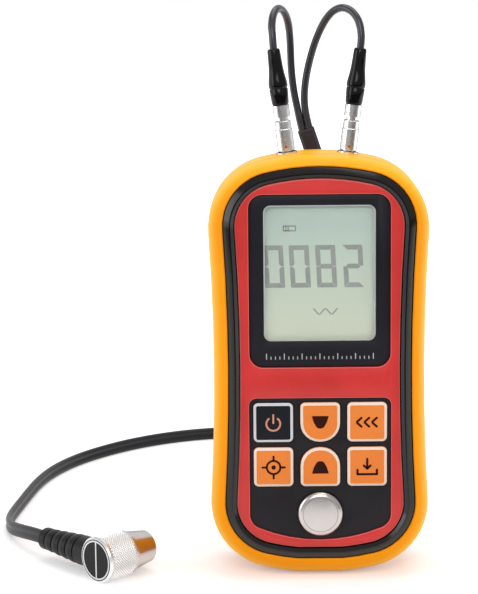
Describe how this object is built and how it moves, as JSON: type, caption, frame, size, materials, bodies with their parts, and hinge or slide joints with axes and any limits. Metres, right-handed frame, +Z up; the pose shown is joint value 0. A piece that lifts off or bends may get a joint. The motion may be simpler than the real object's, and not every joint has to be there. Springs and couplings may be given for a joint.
{
  "type": "ultrasonic thickness gauge",
  "caption": "Hand-held ultrasonic thickness gauge in an orange case with a display, sprung keys, a steel test block and a two-crystal probe on a twin lead",
  "frame": {"origin": "middle of the flat base that the gauge stands on", "axes": "+Z up the gauge, face towards -Y, +X to the right as the face is seen"},
  "size_m": [0.1533, 0.2069, 0.1945],
  "materials": {
    "case_orange": "smooth satin",
    "trim_black": "gloss",
    "panel_red": "satin",
    "bezel_black": "satin",
    "window_clear": "clear",
    "lcd_grey": "matt",
    "diffuser_white": "matt",
    "overlay_black": "fine grain",
    "mat_grey": "matt",
    "key_orange": "satin",
    "key_dark": "satin",
    "block_steel": "turned",
    "board_green": "solder mask",
    "chip_black": "matt",
    "screw_zinc": "plated",
    "cell_wrap": "plain wrap",
    "contact_metal": "plated",
    "plug_metal": "polished",
    "boot_rubber": "matt",
    "lead_black": "satin",
    "probe_metal": "knurled",
    "label_black": "printed",
    "tip_steel": "polished",
    "backing_grey": "cast",
    "crystal_silver": "silvered",
    "guide_amber": "clear amber",
    "barrier_brown": "cork"
  },
  "bodies": {
    "case": {"rear_case": "case_orange", "front_case": "case_orange", "trim_ring": "trim_black", "face_panel": "panel_red", "window_bezel": "bezel_black", "display_lens": "window_clear", "lcd_panel": "lcd_grey", "backlight": "diffuser_white", "keypad_overlay": "overlay_black", "keypad_mat": "mat_grey", "test_block": "block_steel", "circuit_board": "board_green", "processor_chip": "chip_black", "timing_chip": "chip_black", "pulser_coil": "chip_black", "board_screws": "screw_zinc", "case_screws": "screw_zinc", "battery_left": "cell_wrap", "battery_middle": "cell_wrap", "battery_right": "cell_wrap", "battery_springs": "contact_metal", "battery_contacts": "contact_metal", "left_socket": "plug_metal", "right_socket": "plug_metal", "socket_nuts": "plug_metal", "left_plug": "plug_metal", "right_plug": "plug_metal", "left_boot": "boot_rubber", "right_boot": "boot_rubber", "left_lead": "lead_black", "right_lead": "lead_black", "cord_splitter": "lead_black", "twin_lead": "lead_black", "probe_boot": "boot_rubber", "probe_body": "probe_metal", "probe_label": "label_black", "probe_tip": "tip_steel", "probe_backing": "backing_grey", "send_crystal": "crystal_silver", "receive_crystal": "crystal_silver", "send_guide": "guide_amber", "receive_guide": "guide_amber", "sound_barrier": "barrier_brown"},
    "power_key": {"power_key": "key_dark"},
    "down_key": {"down_key": "key_orange"},
    "speed_key": {"speed_key": "key_orange"},
    "zero_key": {"zero_key": "key_orange"},
    "up_key": {"up_key": "key_orange"},
    "save_key": {"save_key": "key_orange"},
    "battery_door": {"battery_door": "case_orange"},
    "left_sleeve": {"left_sleeve": "plug_metal"},
    "right_sleeve": {"right_sleeve": "plug_metal"}
  },
  "joints": [
    {"name": "power_key_press", "type": "slide", "parent": "case", "child": "power_key", "axis": [0, 1, 0], "range_m": [0, 0.0008], "stiffness_N_per_m": 800},
    {"name": "down_key_press", "type": "slide", "parent": "case", "child": "down_key", "axis": [0, 1, 0], "range_m": [0, 0.0008], "stiffness_N_per_m": 800},
    {"name": "speed_key_press", "type": "slide", "parent": "case", "child": "speed_key", "axis": [0, 1, 0], "range_m": [0, 0.0008], "stiffness_N_per_m": 800},
    {"name": "zero_key_press", "type": "slide", "parent": "case", "child": "zero_key", "axis": [0, 1, 0], "range_m": [0, 0.0008], "stiffness_N_per_m": 800},
    {"name": "up_key_press", "type": "slide", "parent": "case", "child": "up_key", "axis": [0, 1, 0], "range_m": [0, 0.0008], "stiffness_N_per_m": 800},
    {"name": "save_key_press", "type": "slide", "parent": "case", "child": "save_key", "axis": [0, 1, 0], "range_m": [0, 0.0008], "stiffness_N_per_m": 800},
    {"name": "battery_door_swing", "type": "hinge", "parent": "case", "child": "battery_door", "pos_m": [0, 0.018, 0.0127], "axis": [-1, 0, 0], "range_deg": [0, 35]},
    {"name": "left_sleeve_pull", "type": "slide", "parent": "case", "child": "left_sleeve", "axis": [-0.1219, 0, 0.9925], "range_m": [0, 0.001], "stiffness_N_per_m": 300},
    {"name": "right_sleeve_pull", "type": "slide", "parent": "case", "child": "right_sleeve", "axis": [0.1219, 0, 0.9925], "range_m": [0, 0.001], "stiffness_N_per_m": 300}
  ]
}
